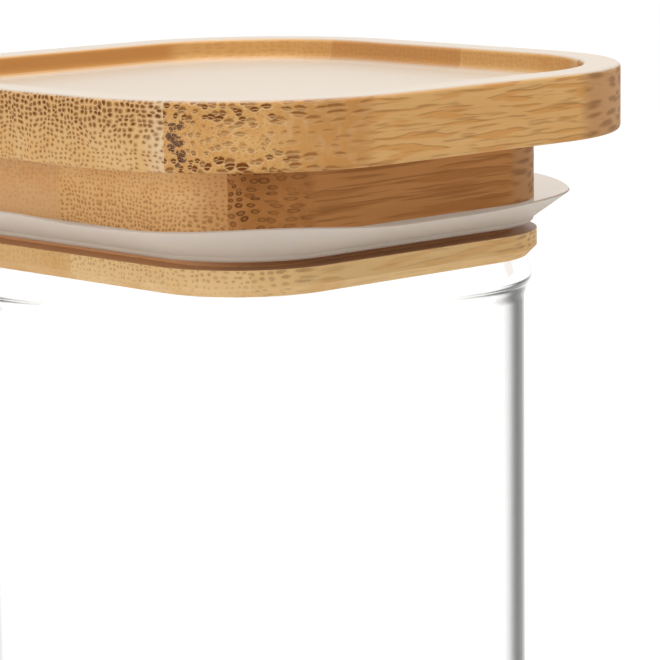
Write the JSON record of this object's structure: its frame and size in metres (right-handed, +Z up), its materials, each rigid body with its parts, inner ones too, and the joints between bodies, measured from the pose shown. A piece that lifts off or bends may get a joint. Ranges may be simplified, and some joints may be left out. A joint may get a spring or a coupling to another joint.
{
  "type": "spice jar",
  "caption": "Square glass storage jar with rounded corners and a lift-off bamboo lid: a tray on top, a plug below and a flexible silicone lip seal in its groove.",
  "frame": {"origin": "middle of the jar's underside, on the surface it stands on", "axes": "+Z up through the lid; the jar's flat sides face X and Y, and the lid lies turned 45 degrees about Z, with its grain along the line from the lower left to the upper right of the plan"},
  "size_m": [0.0788, 0.0788, 0.1105],
  "materials": {
    "glass": "clear pressed glass with a fire-polished rim",
    "bamboo_tray": "sanded and oiled, end grain on the left and right sides",
    "bamboo_plug": "sanded and oiled",
    "bamboo_keeper": "sanded and oiled",
    "silicone": "matt moulded silicone, grey-beige"
  },
  "bodies": {
    "jar": {"glass_jar": "glass"},
    "lid": {"tray_strip_1": "bamboo_tray", "tray_strip_2": "bamboo_tray", "tray_strip_3": "bamboo_tray", "tray_strip_4": "bamboo_tray", "plug_strip_1": "bamboo_plug", "plug_strip_2": "bamboo_plug", "plug_strip_3": "bamboo_plug", "keeper_strip_1": "bamboo_keeper", "keeper_strip_2": "bamboo_keeper", "keeper_strip_3": "bamboo_keeper", "seal_ring": "silicone"}
  },
  "joints": [
    {"name": "lid_lift", "type": "slide", "parent": "jar", "child": "lid", "axis": [0, 0, 1], "range_m": [0, 0.08]}
  ]
}
